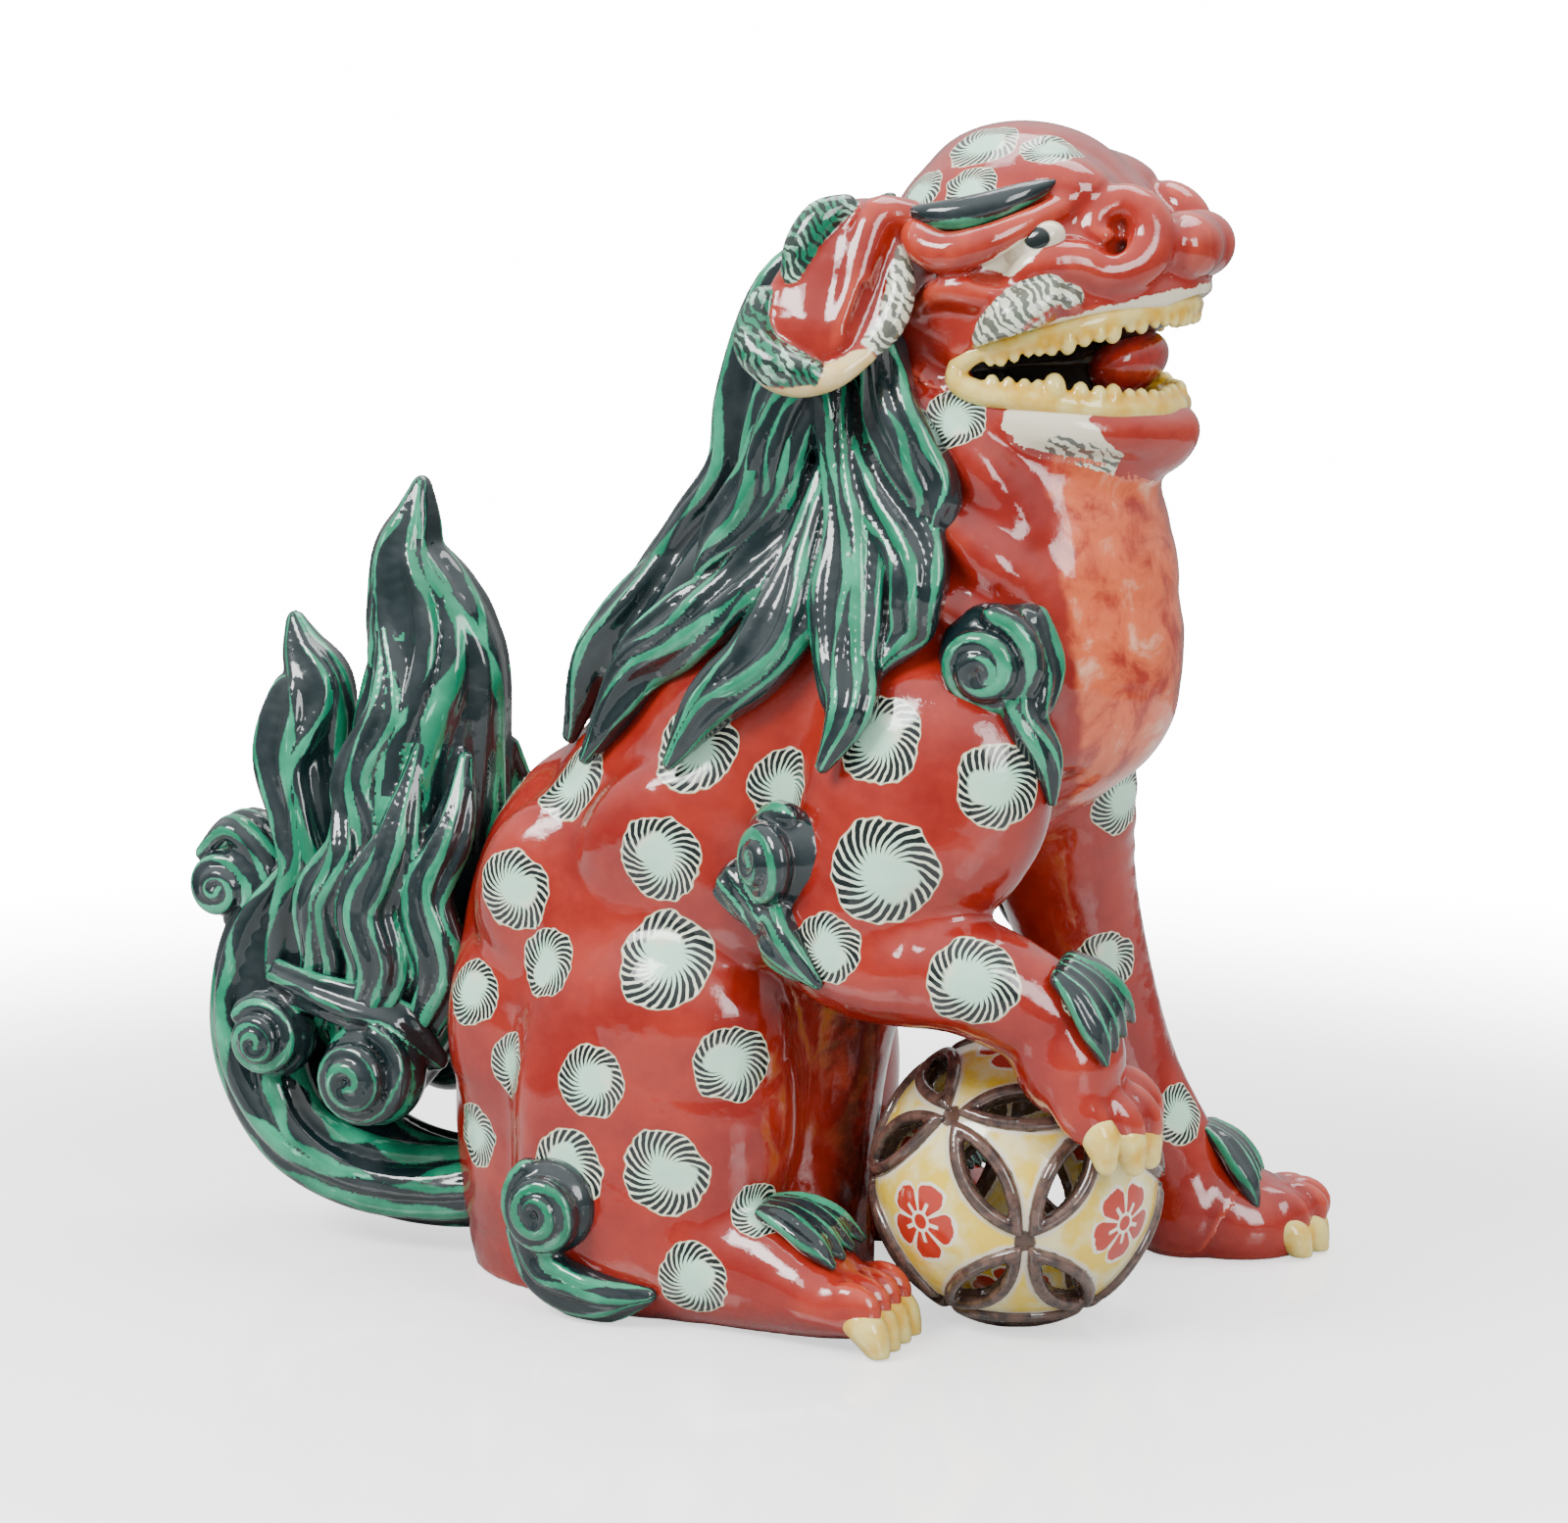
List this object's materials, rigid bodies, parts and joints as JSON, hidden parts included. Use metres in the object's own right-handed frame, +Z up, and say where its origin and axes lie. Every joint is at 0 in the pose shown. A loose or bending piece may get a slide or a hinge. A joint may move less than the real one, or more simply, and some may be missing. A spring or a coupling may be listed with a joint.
{
  "type": "lion dog figurine",
  "caption": "Seated lion-dog figure in hollow glazed porcelain, mouth open, flame tail raised, one fore paw on a pierced ball.",
  "frame": {"origin": "middle of the figure's box, on the surface it stands on", "axes": "+X the way the muzzle points, +Y towards the figure's left side, +Z up"},
  "size_m": [0.2854, 0.1567, 0.2885],
  "materials": {
    "red_glaze": "glossy iron-red enamel with painted cream and pale green rosettes",
    "green_glaze": "glossy green enamel over near-black wavy strands",
    "yellow_glaze": "glossy straw-yellow enamel",
    "cream_glaze": "glossy cream glaze",
    "brown_glaze": "glossy aubergine-brown enamel",
    "tongue_glaze": "glossy orange-red enamel",
    "bare_clay": "matte unglazed biscuit"
  },
  "bodies": {
    "root": {"base_slab": "bare_clay", "torso_right": "red_glaze", "torso_left": "red_glaze", "head_shell": "red_glaze", "lower_jaw": "red_glaze", "upper_teeth": "yellow_glaze", "lower_teeth": "yellow_glaze", "tongue": "tongue_glaze", "nose": "red_glaze", "eye_right": "cream_glaze", "eye_left": "cream_glaze", "brow_right": "green_glaze", "brow_left": "green_glaze", "ear_right": "red_glaze", "ear_left": "red_glaze", "mane_back": "green_glaze", "mane_right": "green_glaze", "mane_left": "green_glaze", "shoulder_right": "red_glaze", "forearm_right": "red_glaze", "paw_fore_right": "red_glaze", "foreleg_left": "red_glaze", "paw_fore_left": "red_glaze", "haunch_right": "red_glaze", "haunch_left": "red_glaze", "foot_hind_right": "red_glaze", "foot_hind_left": "red_glaze", "claws_fore_right": "yellow_glaze", "claws_fore_left": "yellow_glaze", "claws_hind_right": "yellow_glaze", "claws_hind_left": "yellow_glaze", "chest_curl_right": "green_glaze", "chest_curl_left": "green_glaze", "elbow_curl_right": "green_glaze", "elbow_curl_left": "green_glaze", "heel_curl_right": "green_glaze", "heel_curl_left": "green_glaze", "tuft_fore_right": "green_glaze", "tuft_fore_left": "green_glaze", "tuft_hind_right": "green_glaze", "tuft_hind_left": "green_glaze", "tail_stem": "green_glaze", "tail_flame_front": "green_glaze", "tail_flame_rear": "green_glaze", "tail_curl_rear": "green_glaze", "tail_curls_right": "green_glaze", "tail_curls_left": "green_glaze", "ball_upper": "yellow_glaze", "ball_lower": "yellow_glaze", "ball_rims": "brown_glaze"}
  },
  "joints": []
}
